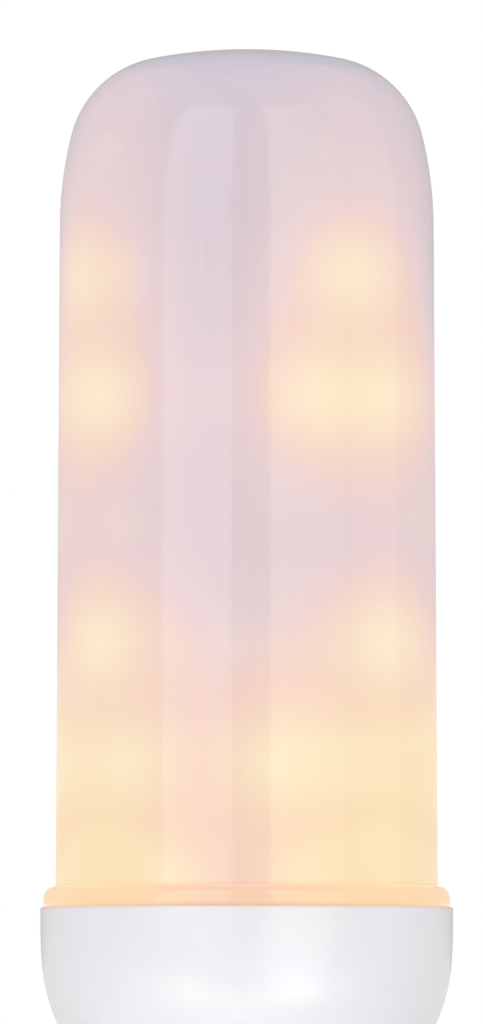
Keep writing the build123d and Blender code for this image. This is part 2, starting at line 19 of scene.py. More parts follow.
import bmesh
import bpy
import numpy as np
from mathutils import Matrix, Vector

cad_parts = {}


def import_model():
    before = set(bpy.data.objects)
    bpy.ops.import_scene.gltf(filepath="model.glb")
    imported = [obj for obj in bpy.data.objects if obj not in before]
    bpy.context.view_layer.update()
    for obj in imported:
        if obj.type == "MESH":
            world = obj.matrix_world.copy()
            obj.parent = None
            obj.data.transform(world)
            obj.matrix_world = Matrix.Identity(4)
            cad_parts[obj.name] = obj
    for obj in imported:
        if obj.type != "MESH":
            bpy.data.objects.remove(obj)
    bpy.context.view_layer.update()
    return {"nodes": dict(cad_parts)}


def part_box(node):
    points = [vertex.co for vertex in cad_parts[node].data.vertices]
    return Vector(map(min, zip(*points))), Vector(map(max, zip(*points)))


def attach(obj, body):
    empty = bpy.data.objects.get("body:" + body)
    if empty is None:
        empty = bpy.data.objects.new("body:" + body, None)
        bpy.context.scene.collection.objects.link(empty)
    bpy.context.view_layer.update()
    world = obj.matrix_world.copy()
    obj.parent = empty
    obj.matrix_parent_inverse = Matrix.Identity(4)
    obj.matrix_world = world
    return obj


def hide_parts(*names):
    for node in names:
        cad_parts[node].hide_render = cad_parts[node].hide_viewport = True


MM = 0.001
FULL_TURN = 2 * math.pi
WELD_METRES = 1e-7
LOG = logging.getLogger("bulb")

Colour = tuple[float, float, float]
Span = tuple[float, float]

# Headings of an outline and azimuths in degrees.
OUTWARDS = 0.0
DOWNWARDS = -90.0
QUARTER = 90
FRONT = -90

BLACK: Colour = (0.0, 0.0, 0.0)
WHITE: Colour = (1.0, 1.0, 1.0)
DISPLAY_TOP = 255
DISPLAY_KNEE = 0.04045
DISPLAY_SLOPE = 12.92
DISPLAY_OFFSET = 0.055
DISPLAY_POWER = 2.4

# Most of a noise's values lie between these two.
NOISE_SPAN: Span = (0.3, 0.7)


class Slot(str, Enum):
    """Material slots of the record."""

    COVER = "milky_cover"
    HOUSING = "white_housing"
    SHELL = "nickel_shell"


class Glow(str, Enum):
    """Names of the point attributes that carry the painted lamp light on the cover."""

    SPOT = "glow_spot"
    HAZE = "glow_haze"
    FOOT = "glow_foot"


def srgb(red: int, green: int, blue: int) -> Colour:
    """Turn a display colour into linear values.

    Args:
        red: Red from 0 to 255.
        green: Green from 0 to 255.
        blue: Blue from 0 to 255.

    Returns:
        The linear colour, each channel from 0 to 1.
    """

    def linear(value: float) -> float:
        """Turn one display channel into a linear one.

        Args:
            value: The channel from 0 to 1.

        Returns:
            The linear channel.
        """
        if value <= DISPLAY_KNEE:
            return value / DISPLAY_SLOPE
        return ((value + DISPLAY_OFFSET) / (1 + DISPLAY_OFFSET)) ** DISPLAY_POWER

    return (linear(red / DISPLAY_TOP), linear(green / DISPLAY_TOP), linear(blue / DISPLAY_TOP))


class Outline:
    """A turned part's outline in the radius and height plane, drawn run by run."""

    def __init__(self, radius: float, height: float, heading: float = 0.0) -> None:
        """Start the outline.

        Args:
            radius: Distance from the axis.
            height: Level above the origin.
            heading: Direction in degrees, 0 outwards and 90 upwards.
        """
        self.points: list[tuple[float, float]] = [(radius, height)]
        self.heading = heading

    @property
    def end(self) -> tuple[float, float]:
        """The last point drawn.

        Returns:
            Its distance from the axis and its level.
        """
        return self.points[-1]

    def to(self, radius: float, height: float, pieces: int = 1) -> "Outline":
        """Draw a straight run to a point.

        Args:
            radius: Where the run ends, from the axis.
            height: Where the run ends, in level.
            pieces: Number of equal edges in the run.

        Returns:
            The outline itself.
        """
        start_r, start_h = self.end
        for index in range(1, pieces + 1):
            share = index / pieces
            now_r = start_r + (radius - start_r) * share
            now_h = start_h + (height - start_h) * share
            self.points.append((now_r, now_h))
        self.heading = math.degrees(math.atan2(height - start_h, radius - start_r))
        return self

    def arc(self, radius: float, angle: float, pieces: int) -> "Outline":
        """Draw an arc that leaves along the present heading.

        Args:
            radius: The arc's radius.
            angle: Degrees turned, to the left if positive.
            pieces: Number of equal edges in the arc.

        Returns:
            The outline itself.
        """
        side = math.copysign(1.0, angle)
        start = math.radians(self.heading)
        centre_r = self.end[0] - side * radius * math.sin(start)
        centre_h = self.end[1] + side * radius * math.cos(start)
        for index in range(1, pieces + 1):
            now = start + math.radians(angle) * index / pieces
            now_r = centre_r + side * radius * math.sin(now)
            now_h = centre_h - side * radius * math.cos(now)
            self.points.append((now_r, now_h))
        self.heading += angle
        return self

    def turn_to(self, heading: float) -> "Outline":
        """Set the heading for the next arc.

        Args:
            heading: Direction in degrees, 0 outwards and 90 upwards.

        Returns:
            The outline itself.
        """
        self.heading = heading
        return self


@dataclass
class TurnedMesh:
    """A mesh spun from an outline round the axis."""

    name: str
    outline: Outline
    steps: int
    closed: bool = True
    crease: float = 32.0
    shaping: Callable[[bmesh.types.BMesh], None] | None = None

    def build(self) -> bpy.types.Object:
        """Spin the outline into an object at the origin.

        Returns:
            The linked object, smooth except along crisp edges.
        """
        work = bmesh.new()
        corners = [work.verts.new((r * MM, 0.0, h * MM)) for r, h in self.outline.points]
        edges = [work.edges.new(pair) for pair in zip(corners, corners[1:])]
        if self.closed:
            edges.append(work.edges.new((corners[-1], corners[0])))
        bmesh.ops.spin(
            work,
            geom=corners + edges,
            cent=(0.0, 0.0, 0.0),
            axis=(0.0, 0.0, 1.0),
            dvec=(0.0, 0.0, 0.0),
            angle=FULL_TURN,
            steps=self.steps,
            use_merge=True,
            use_duplicate=False,
        )
        bmesh.ops.remove_doubles(work, verts=work.verts[:], dist=WELD_METRES)
        bmesh.ops.recalc_face_normals(work, faces=work.faces[:])
        if self.shaping:
            self.shaping(work)
        smooth_with_creases(work, self.crease)
        return finished_object(self.name, work)


def smooth_with_creases(work: bmesh.types.BMesh, crease: float) -> None:
    """Smooth all faces and mark the crisp edges.

    Args:
        work: The mesh at work.
        crease: Edges that turn by more than these degrees stay crisp.
    """
    limit = math.radians(crease)
    for face in work.faces:
        face.smooth = True
    for edge in work.edges:
        edge.smooth = not (len(edge.link_faces) == 2 and edge.calc_face_angle(0.0) > limit)


def finished_object(name: str, work: bmesh.types.BMesh) -> bpy.types.Object:
    """Write a mesh at work to a new linked object.

    Args:
        name: Name of the object and of its mesh.
        work: The mesh at work, freed afterwards.

    Returns:
        The new object, at the origin.
    """
    mesh = bpy.data.meshes.new(name)
    work.to_mesh(mesh)
    work.free()
    piece = bpy.data.objects.new(name, mesh)
    bpy.context.scene.collection.objects.link(piece)
    return piece


class NodeSheet:
    """A short hand for laying out one material's shader nodes."""

    def __init__(self, name: str) -> None:
        """Start an empty material.

        Args:
            name: The material's name.
        """
        self.material = bpy.data.materials.new(name)
        self.material.use_nodes = True
        self.tree = self.material.node_tree
        self.tree.nodes.clear()
        self.shader = self.tree.nodes.new("ShaderNodeBsdfPrincipled")
        output = self.tree.nodes.new("ShaderNodeOutputMaterial")
        self.link(self.shader.outputs["BSDF"], output.inputs["Surface"])

    def link(self, source: bpy.types.NodeSocket, target: bpy.types.NodeSocket) -> None:
        """Join two sockets.

        Args:
            source: The output socket.
            target: The input socket.
        """
        self.tree.links.new(source, target)

    def add(self, kind: str, **settings: object) -> bpy.types.Node:
        """Add a node.

        Args:
            kind: The node's type without its ShaderNode prefix.
            **settings: Attributes to set on the node.

        Returns:
            The new node.
        """
        node = self.tree.nodes.new("ShaderNode" + kind)
        for key, value in settings.items():
            setattr(node, key, value)
        return node

    def noise(self, scale: float, detail: float = 3.0) -> bpy.types.NodeSocket:
        """Noise in object space.

        Args:
            scale: Waves for each metre.
            detail: Octaves of the noise.

        Returns:
            The noise factor.
        """
        place = self.add("TexCoord")
        node = self.add("TexNoise")
        node.inputs["Scale"].default_value = scale
        node.inputs["Detail"].default_value = detail
        self.link(place.outputs["Object"], node.inputs["Vector"])
        return node.outputs["Fac"]

    def level(self) -> bpy.types.NodeSocket:
        """Height above the origin in object space.

        Returns:
            The height in metres.
        """
        place = self.add("TexCoord")
        split = self.add("SeparateXYZ")
        self.link(place.outputs["Object"], split.inputs["Vector"])
        return split.outputs["Z"]

    def ramp(
        self, source: bpy.types.NodeSocket, stops: Sequence[tuple[float, Colour]]
    ) -> bpy.types.NodeSocket:
        """A colour ramp over a factor.

        Args:
            source: The factor.
            stops: Positions from 0 to 1 with their linear colours.

        Returns:
            The colour.
        """
        node = self.add("ValToRGB")
        elements = node.color_ramp.elements
        while len(elements) < len(stops):
            elements.new(0.5)
        for element, (position, colour) in zip(elements, stops):
            element.position = position
            element.color = (*colour, 1.0)
        self.link(source, node.inputs["Fac"])
        return node.outputs["Color"]

    def range(
        self,
        source: bpy.types.NodeSocket,
        low: float,
        high: float,
        start: float = 0.0,
        stop: float = 1.0,
    ) -> bpy.types.NodeSocket:
        """Map a factor to a range.

        Args:
            source: The factor.
            low: Result at the start of the range.
            high: Result at the end of the range.
            start: Factor that gives the low result.
            stop: Factor that gives the high result.

        Returns:
            The mapped value, clamped.
        """
        node = self.add("MapRange")
        ends = {"From Min": start, "From Max": stop, "To Min": low, "To Max": high}
        for key, value in ends.items():
            node.inputs[key].default_value = value
        self.link(source, node.inputs["Value"])
        return node.outputs["Result"]

    def bump(self, source: bpy.types.NodeSocket, height_mm: float) -> None:
        """Give the shader a bump.

        Args:
            source: The height factor.
            height_mm: Depth of the relief in millimetres.
        """
        node = self.add("Bump")
        node.inputs["Strength"].default_value = 1.0
        node.inputs["Distance"].default_value = height_mm * MM
        self.link(source, node.inputs["Height"])
        self.link(node.outputs["Normal"], self.shader.inputs["Normal"])

    def blend(
        self,
        factor: bpy.types.NodeSocket,
        first: bpy.types.NodeSocket | Colour,
        second: bpy.types.NodeSocket | Colour,
    ) -> bpy.types.NodeSocket:
        """Mix two colours.

        Args:
            factor: Share of the second colour.
            first: A colour or a colour socket.
            second: A colour or a colour socket.

        Returns:
            The mixed colour.
        """
        node = self.add("Mix", data_type="RGBA")
        inputs = {s.identifier: s for s in node.inputs}
        self.link(factor, inputs["Factor_Float"])
        for key, value in (("A_Color", first), ("B_Color", second)):
            if isinstance(value, tuple):
                inputs[key].default_value = (*value, 1.0)
            else:
                self.link(value, inputs[key])
        return {s.identifier: s for s in node.outputs}["Result_Color"]

    def attribute(self, name: str) -> bpy.types.NodeSocket:
        """A point attribute's value.

        Args:
            name: The attribute's name.

        Returns:
            The value as a factor.
        """
        return self.add("Attribute", attribute_name=name).outputs["Fac"]


class Finish(ABC):
    """A surface finish that can make its material once."""

    _made: dict["Finish", bpy.types.Material] = {}

    def material(self) -> bpy.types.Material:
        """The finish's material, made on first use.

        Returns:
            The shared material.
        """
        if self not in Finish._made:
            Finish._made[self] = self.make()
        return Finish._made[self]

    @abstractmethod
    def make(self) -> bpy.types.Material:
        """Lay out the material.

        Returns:
            The new material.
        """


@dataclass(frozen=True)
class Mottled(Finish):
    """Plastic, lacquer or metal with faint changes of tone, gloss and relief, and an optional
    painted warm spill of glow and shade below a level.
    """

    name: str
    light: Colour
    dark: Colour
    roughness: Span = (0.35, 0.45)
    metallic: float = 0.0
    grain: float = 900.0
    broad_grains: float = 12.0
    broad_detail: float = 2.0
    relief_mm: float = 0.01
    coat: float = 0.0
    gloss: float = 0.5
    emission: float = 0.0
    painted_spill_tint: Colour = WHITE
    painted_spill_level: float = 0.0
    painted_spill_reach: float = 0.0

    def make(self) -> bpy.types.Material:
        """Lay out the material.

        Returns:
            The new material.
        """
        sheet = NodeSheet(self.name)
        grain = sheet.noise(self.grain)
        broad = sheet.noise(self.grain / self.broad_grains, self.broad_detail)
        colour = sheet.ramp(broad, list(zip(NOISE_SPAN, (self.dark, self.light))))
        # Painted light and shade: below the given level a warm tint fades in, standing for the
        # cover's glow spilling onto the rim and for contact shade.
        if self.painted_spill_reach:
            low = (self.painted_spill_level - self.painted_spill_reach) * MM
            near = sheet.range(sheet.level(), 0.0, 1.0, low, self.painted_spill_level * MM)
            colour = sheet.blend(near, colour, self.painted_spill_tint)
        sheet.link(colour, sheet.shader.inputs["Base Color"])
        polish = sheet.range(grain, *self.roughness, *NOISE_SPAN)
        sheet.link(polish, sheet.shader.inputs["Roughness"])
        sheet.shader.inputs["Metallic"].default_value = self.metallic
        sheet.shader.inputs["Coat Weight"].default_value = self.coat
        sheet.shader.inputs["Specular IOR Level"].default_value = self.gloss
        if self.emission:
            sheet.link(colour, sheet.shader.inputs["Emission Color"])
            sheet.shader.inputs["Emission Strength"].default_value = self.emission
        if self.relief_mm:
            sheet.bump(grain, self.relief_mm)
        return sheet.material


@dataclass(frozen=True)
class MilkyGlow(Finish):
    """Milky plastic with the lamps behind it painted on as soft spots in a warm haze, in its colour
    and emission.
    """

    name: str = "milky_cover"
    unlit: Colour = srgb(206, 198, 213)
    rosy: Colour = srgb(239, 213, 214)
    salmon: Colour = srgb(246, 212, 202)
    amber: Colour = srgb(248, 193, 149)
    cream: Colour = srgb(255, 243, 220)
    butter: Colour = srgb(253, 228, 183)
    peach: Colour = srgb(254, 204, 152)
    peach_share: float = 0.5
    haze_stops: Span = (0.27, 0.35)
    spot_range: Span = (0.124, 0.416)
    spot_power: float = 0.74
    grain: float = 2600.0
    roughness: Span = (0.08, 0.12)
    own_light: float = 0.55
    own_light_full: float = 0.5
    gloss: float = 0.5

    def make(self) -> bpy.types.Material:
        """Lay out the material.

        Returns:
            The new material.
        """
        sheet = NodeSheet(self.name)
        # Painted light: the lamps' haze and spots are painted into the cover's colour, not cast
        # through it.
        haze = sheet.attribute(Glow.HAZE.value)
        spot = sheet.attribute(Glow.SPOT.value)
        stops = zip((0.0, *self.haze_stops, 1.0), (self.unlit, self.rosy, self.salmon, self.amber))
        warm = sheet.ramp(haze, list(stops))
        core = sheet.blend(sheet.range(haze, 0.0, 1.0), self.cream, self.butter)
        lift = sheet.add("Math", operation="POWER")
        lift.inputs[1].default_value = self.spot_power
        sheet.link(sheet.range(spot, 0.0, 1.0, *self.spot_range), lift.inputs[0])
        glow = sheet.blend(lift.outputs[0], warm, core)
        # Painted light: the lamps' warm glow gathering in the flange at the foot, painted peach.
        foot = sheet.range(sheet.attribute(Glow.FOOT.value), 0.0, self.peach_share)
        look = sheet.blend(foot, glow, self.peach)
        # The painted glow is split between base colour and emission by the haze.
        share = sheet.range(haze, 0.0, self.own_light, 0.0, self.own_light_full)
        sheet.link(sheet.blend(share, look, BLACK), sheet.shader.inputs["Base Color"])
        sheet.link(sheet.blend(share, BLACK, look), sheet.shader.inputs["Emission Color"])
        sheet.shader.inputs["Emission Strength"].default_value = 1.0
        sheet.shader.inputs["Specular IOR Level"].default_value = self.gloss
        polish = sheet.range(sheet.noise(self.grain), *self.roughness, *NOISE_SPAN)
        sheet.link(polish, sheet.shader.inputs["Roughness"])
        return sheet.material


@dataclass(frozen=True)
class LampRow:
    """One ring of lamps.

    The first lamp's angle is in degrees from the front. The levels, from 0 to 1, are how bright
    the lamps are, going round to the right from there.
    """

    first: int
    levels: tuple[float, ...]


@dataclass(frozen=True)
class LampLattice:
    """The staggered rings of lamps, lit in a flame-like pattern."""

    first_row: float = 2.9
    row_pitch: float = 18.3
    face_radius: float = 18.8
    haze_reach: float = 6.5
    haze_power: float = 1.28
    foot_height: float = 3.3
    foot_fade: float = 0.6
    rows: tuple[LampRow, ...] = (
        LampRow(
            -74,
            (0.17, 0.73, 0.28, 0.0, 0.35, 0.7, 0.17, 0.4, 0.55, 0.3, 0.6, 0.25, 0.4, 0.7, 0.3),
        ),
        LampRow(
            -86,
            (0.4, 0.18, 0.32, 0.0, 0.35, 0.27, 0.26, 0.52, 0.2, 0.35, 0.1, 0.4, 0.3, 0.0, 0.3),
        ),
        LampRow(
            -74,
            (0.03, 0.35, 0.03, 0.1, 0.02, 0.33, 0.07, 0.0, 0.34, 0.08, 0.33, 0.0, 0.05, 0.3, 0.06),
        ),
        LampRow(
            -86,
            (0.14, 0.03, 0.09, 0.04, 0.07, 0.05, 0.05, 0.11, 0.05, 0.0, 0.08, 0.06, 0.0, 0.1, 0.05),
        ),
        LampRow(
            -74,
            (0.12, 0.34, 0.0, 0.0, 0.29, 0.3, 0.07, 0.05, 0.28, 0.32, 0.04, 0.0, 0.3, 0.06, 0.08),
        ),
        LampRow(
            -86,
            (0.04, 0.24, 0.1, 0.0, 0.0, 0.32, 0.03, 0.06, 0.0, 0.28, 0.05, 0.0, 0.06, 0.3, 0.0),
        ),
        LampRow(
            -74,
            (0.06, 0.08, 0.05, 0.0, 0.08, 0.06, 0.04, 0.04, 0.0, 0.05, 0.06, 0.0, 0.05, 0.04, 0.03),
        ),
    )

    def lit(self, rim_level: float) -> Iterator[tuple[Vector, Vector, float]]:
        """Go through the lit lamps.

        Args:
            rim_level: Level of the housing's rim.

        Yields:
            Each lamp's place in millimetres, its outward direction and its brightness.
        """
        for index, row in enumerate(self.rows):
            level = rim_level + self.first_row + self.row_pitch * index
            for step, weight in enumerate(row.levels):
                turn = math.radians(row.first + FRONT) + FULL_TURN / len(row.levels) * step
                ahead = Vector((math.cos(turn), math.sin(turn), 0.0))
                if weight:
                    yield ahead * self.face_radius + Vector((0.0, 0.0, level)), ahead, weight

    def shine_on(self, piece: bpy.types.Object, rim_level: float, skin_radius: float) -> None:
        """Write the light that reaches each point of a cover as attributes, to be painted on its
        surface.

        Args:
            piece: The cover.
            rim_level: Level of the housing's rim.
            skin_radius: Radius of the cover's wall in front of the lamps.
        """
        mesh = piece.data
        count = len(mesh.vertices)
        places = np.empty(count * 3)
        normals = np.empty(count * 3)
        mesh.vertices.foreach_get("co", places)
        mesh.vertices.foreach_get("normal", normals)
        places = places.reshape(-1, 3) / MM
        normals = normals.reshape(-1, 3)
        spot = np.zeros(count)
        haze = np.zeros(count)
        gap = skin_radius - self.face_radius
        # Each lit lamp adds a painted spot and a painted haze of its light on the cover.
        for place, ahead, weight in self.lit(rim_level):
            way = places - np.array(place)
            distance = np.linalg.norm(way, axis=1)
            way /= distance[:, None]
            leaving = np.clip(way @ np.array(ahead), 0.0, None)
            arriving = np.clip(np.einsum("ij,ij->i", way, normals), 0.0, None)
            spot += weight * leaving * arriving * (gap / distance) ** 2
            reach = np.clip(distance - gap, 0.0, None) / self.haze_reach
            haze += weight * np.exp(-(reach**self.haze_power)) * (leaving > 0)
        # Painted light: a warm band of lamp glow at the cover's foot, fading out above it.
        foot = np.clip((rim_level + self.foot_height - places[:, 2]) / self.foot_fade, 0.0, 1.0)
        for name, values in ((Glow.SPOT, spot), (Glow.HAZE, haze), (Glow.FOOT, foot)):
            layer = mesh.attributes.new(name.value, "FLOAT", "POINT")
            layer.data.foreach_set("value", values.astype(np.float32))


class SubAssembly(ABC):
    """A group of pieces that is built and finished together."""

    @abstractmethod
    def build(self) -> list[bpy.types.Object]:
        """Make the pieces and their finishes.

        Returns:
            The new pieces.
        """


def stand_for(piece: bpy.types.Object, node: str, finish: Finish) -> bpy.types.Object:
    """Let a new piece ride on the part in place of a CAD node.

    Args:
        piece: The new piece.
        node: The CAD node it stands for.
        finish: Its finish.

    Returns:
        The piece.
    """
    piece.data.materials.append(finish.material())
    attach(piece, "root")
    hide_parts(node)
    return piece


@dataclass
class Cover(SubAssembly):
    """Domed milky cover with a flange at its foot."""

    radius: float = 28.75
    wall: float = 1.4
    draft: float = 0.35
    crown_angle: float = 11.0
    shoulder_angle: float = 76.0
    shoulder_radius: float = 15.5
    ease_radius: float = 58.0
    flange_radius: float = 30.6
    flange_height: float = 3.1
    flange_round: float = 1.8
    foot_round: float = 0.25
    skirt_radius: float = 28.73
    skirt_depth: float = 6.0
    seat: float = 0.05
    glow_depth: float = 0.35
    outer_pieces: tuple[int, int, int] = (14, 34, 22)
    inner_pieces: tuple[int, int, int] = (4, 12, 4)
    wall_pieces: int = 180
    inner_wall_pieces: int = 8
    flange_pieces: int = 8
    short_pieces: int = 3
    steps: int = 256
    lattice: LampLattice = field(default_factory=LampLattice)

    def crown_radius(self, height: float) -> float:
        """Radius of the crown arc that makes the dome end at a height above the rim.

        Args:
            height: The cover's height above the rim.

        Returns:
            The crown's radius.
        """
        crown, shoulder = math.radians(self.crown_angle), math.radians(self.shoulder_angle)
        end, draft = math.radians(QUARTER - self.draft), math.radians(self.draft)
        run = self.shoulder_radius * (math.sin(shoulder) - math.sin(crown))
        run += self.ease_radius * (math.sin(end) - math.sin(shoulder))
        fall = self.shoulder_radius * (math.cos(crown) - math.cos(shoulder))
        fall += self.ease_radius * (math.cos(shoulder) - math.cos(end))
        slope = math.tan(crown / 2)
        room = height - self.flange_height - fall
        length = (room - slope * (self.radius - run)) / (1 - slope * math.tan(draft))
        return (self.radius - length * math.tan(draft) - run) / math.sin(crown)

    def dome(
        self, top: float, crown_radius: float, depth: float, pieces: tuple[int, int, int]
    ) -> Outline:
        """Outline of the dome at a depth below its outside.

        Args:
            top: Level of the outside at the axis.
            crown_radius: The crown's outside radius.
            depth: Depth below the outside.
            pieces: Edges in the crown, shoulder and easing arcs.

        Returns:
            The outline from the axis to the wall.
        """
        path = Outline(0.0, top - depth)
        path.arc(crown_radius - depth, -self.crown_angle, pieces[0])
        path.arc(self.shoulder_radius - depth, self.crown_angle - self.shoulder_angle, pieces[1])
        path.arc(self.ease_radius - depth, self.shoulder_angle - QUARTER + self.draft, pieces[2])
        return path

    def build(self) -> list[bpy.types.Object]:
        """Turn the cover and paint the lamps' light on it.

        Returns:
            The cover.
        """
        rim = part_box("housing")[1].z / MM
        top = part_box("diffuser_cover")[1].z / MM
        crown = self.crown_radius(top - rim)
        bore = self.radius - self.wall
        path = self.dome(top, crown, 0.0, self.outer_pieces)
        path.to(self.radius, rim + self.flange_height, self.wall_pieces)
        path.to(self.flange_radius - self.flange_round, rim + self.flange_height)
        path.turn_to(OUTWARDS).arc(self.flange_round, -QUARTER, self.flange_pieces)
        path.to(self.flange_radius, rim + self.seat + self.foot_round, self.short_pieces)
        path.turn_to(DOWNWARDS).arc(self.foot_round, -QUARTER, self.short_pieces)
        path.to(self.skirt_radius, rim + self.seat)
        path.to(self.skirt_radius, rim - self.skirt_depth)
        path.to(bore, rim - self.skirt_depth)
        path.to(bore, rim + self.flange_height, self.short_pieces)
        inside = self.dome(top, crown, self.wall, self.inner_pieces).points[::-1]
        path.to(*inside[0], self.inner_wall_pieces)
        path.points += inside[1:]
        cover = TurnedMesh("cover_glow", path, self.steps, closed=False).build()
        self.lattice.shine_on(cover, rim, self.radius - self.glow_depth)
        return [stand_for(cover, "diffuser_cover", MilkyGlow())]


@dataclass
class Housing(SubAssembly):
    """White bowl with a collar and a neck."""

    radius: float = 31.05
    wall: float = 2.0
    straight: float = 2.0
    ease_radius: float = 90.0
    ease_angle: float = 4.0
    bowl_radius: float = 27.0
    collar_radius: float = 14.3
    collar_height: float = 1.5
    neck_radius: float = 11.79
    neck_wide_radius: float = 13.0
    neck_bottom: float = 7.0
    neck_bore: float = 9.79
    neck_step: float = 21.5
    step_rise: float = 0.7
    rim_round: float = 0.3
    rim_pieces: int = 3
    straight_pieces: int = 8
    outer_pieces: tuple[int, int] = (4, 36)
    inner_pieces: tuple[int, int] = (2, 12)
    steps: int = 256

    def build(self) -> list[bpy.types.Object]:
        """Turn the housing.

        Returns:
            The housing.
        """
        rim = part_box("housing")[1].z / MM
        ease = math.radians(self.ease_angle)
        centre = self.radius - self.ease_radius * (1 - math.cos(ease))
        centre -= self.bowl_radius * math.cos(ease)
        foot_angle = math.degrees(math.acos((self.collar_radius - centre) / self.bowl_radius))
        path = Outline(self.radius - self.wall, rim)
        path.to(self.radius - self.rim_round, rim)
        path.turn_to(OUTWARDS).arc(self.rim_round, -QUARTER, self.rim_pieces)
        path.to(self.radius, rim - self.straight, self.straight_pieces)
        path.turn_to(DOWNWARDS).arc(self.ease_radius, -self.ease_angle, self.outer_pieces[0])
        path.arc(self.bowl_radius, self.ease_angle - foot_angle, self.outer_pieces[1])
        foot = path.end[1]
        path.to(self.collar_radius, foot - self.collar_height)
        path.to(self.neck_wide_radius, foot - self.collar_height)
        path.to(self.neck_wide_radius, self.neck_step + self.step_rise)
        path.to(self.neck_radius, self.neck_step)
        path.to(self.neck_radius, self.neck_bottom)
        path.to(self.neck_bore, self.neck_bottom)
        path.to(self.neck_bore, foot - self.collar_height)
        inner = Outline(self.radius - self.wall, rim)
        inner.to(self.radius - self.wall, rim - self.straight).turn_to(DOWNWARDS)
        inner.arc(self.ease_radius - self.wall, -self.ease_angle, self.inner_pieces[0])
        inner.arc(self.bowl_radius - self.wall, self.ease_angle - foot_angle, self.inner_pieces[1])
        path.points += inner.points[:0:-1]
        bowl = TurnedMesh("housing_bowl", path, self.steps).build()
        finish = Mottled(
            "white_housing",
            light=srgb(234, 233, 237),
            dark=srgb(232, 231, 235),
            roughness=(0.2, 0.215),
            grain=500.0,
            relief_mm=0.0,
            # Painted glow and shade: the rim's top half millimetre is tinted warm, the cover's glow
            # spilling onto it.
            painted_spill_tint=srgb(236, 214, 200),
            painted_spill_level=rim,
            painted_spill_reach=0.5,
        )
        return [stand_for(bowl, "housing", finish)]


@dataclass
class ScrewCap(SubAssembly):
    """Drawn metal shell with a rolled thread and punched dents."""

    bottom: float = 4.6
    height: float = 26.0
    edge_taper: float = 0.9
    core_radius: float = 12.19
    crest_radius: float = 13.2
    skirt_radius: float = 13.4
    skirt_height: float = 4.2
    step_rise: float = 0.7
    sheet: float = 0.3
    pitch: float = 3.629
    thread_start: float = 7.31
    thread_rise: float = 11.98
    fade_turns: float = 0.09
    dent_count: int = 8
    dent_depth: float = 0.35
    dent_reach: float = 0.8
    dent_drop: float = 2.3
    edge_pieces: int = 2
    thread_pieces: int = 64
    step_pieces: int = 3
    skirt_pieces: int = 24
    steps: int = 192
    crease: float = 50.0

    @property
    def step_level(self) -> float:
        """Where the thread's wall ends and the step to the skirt begins.

        Returns:
            The level.
        """
        return self.height - self.skirt_height - self.step_rise

    def ridge(self, turn: float, level: float) -> float:
        """How far the rolled ridge stands out.

        Args:
            turn: Angle round the axis as a share of a full turn, from 0 to 1.
            level: Level on the shell.

        Returns:
            The height of the ridge, from 0 to 1.
        """
        turns = self.thread_rise / self.pitch
        nearest = round((level - self.thread_start) / self.pitch - turn)
        along = nearest + turn
        if not 0.0 <= along <= turns:
            return 0.0
        away = (level - self.thread_start) / self.pitch - along
        fade = min(1.0, along / self.fade_turns, (turns - along) / self.fade_turns)
        return (0.5 + 0.5 * math.cos(FULL_TURN * away)) * fade * fade * (3 - 2 * fade)

    def roll(self, work: bmesh.types.BMesh) -> None:
        """Press the thread and the dents into the turned shell.

        Args:
            work: The mesh at work.
        """
        lift = self.crest_radius - self.core_radius
        section = FULL_TURN / self.dent_count
        for vertex in work.verts:
            angle = math.atan2(vertex.co.y, vertex.co.x)
            level = vertex.co.z / MM
            radius = math.hypot(vertex.co.x, vertex.co.y) / MM
            change = 0.0
            if self.bottom + self.edge_taper < level < self.step_level:
                change += lift * self.ridge(angle / FULL_TURN % 1.0, level)
            across = (angle / section - round(angle / section)) * section * self.skirt_radius
            reach = math.hypot(across, level - self.height + self.dent_drop) / self.dent_reach
            if reach < 1.0:
                change -= self.dent_depth * (1 - reach * reach) ** 2
            vertex.co.x *= (radius + change) / radius
            vertex.co.y *= (radius + change) / radius

    def build(self) -> list[bpy.types.Object]:
        """Turn and roll the shell.

        Returns:
            The shell.
        """
        step = self.step_level
        edge_radius = self.core_radius - self.edge_taper
        path = Outline(edge_radius, self.bottom)
        path.to(self.core_radius, self.bottom + self.edge_taper, self.edge_pieces)
        path.to(self.core_radius, step, self.thread_pieces)
        path.to(self.skirt_radius, step + self.step_rise, self.step_pieces)
        path.to(self.skirt_radius, self.height, self.skirt_pieces)
        inner = Outline(edge_radius - self.sheet / 2, self.bottom + self.sheet)
        inner.to(self.core_radius - self.sheet, self.bottom + self.edge_taper)
        inner.to(self.core_radius - self.sheet, step, self.thread_pieces)
        inner.to(self.skirt_radius - self.sheet, step + self.step_rise, self.step_pieces)
        inner.to(self.skirt_radius - self.sheet, self.height, self.skirt_pieces)
        path.points += inner.points[::-1]
        shell = TurnedMesh(
            "shell_rolled", path, self.steps, crease=self.crease, shaping=self.roll
        ).build()
        finish = Mottled(
            "nickel_shell",
            light=srgb(214, 213, 209),
            dark=srgb(203, 202, 198),
            roughness=(0.2, 0.3),
            metallic=1.0,
            grain=1400.0,
            relief_mm=0.004,
        )
        return [stand_for(shell, "screw_cap", finish)]


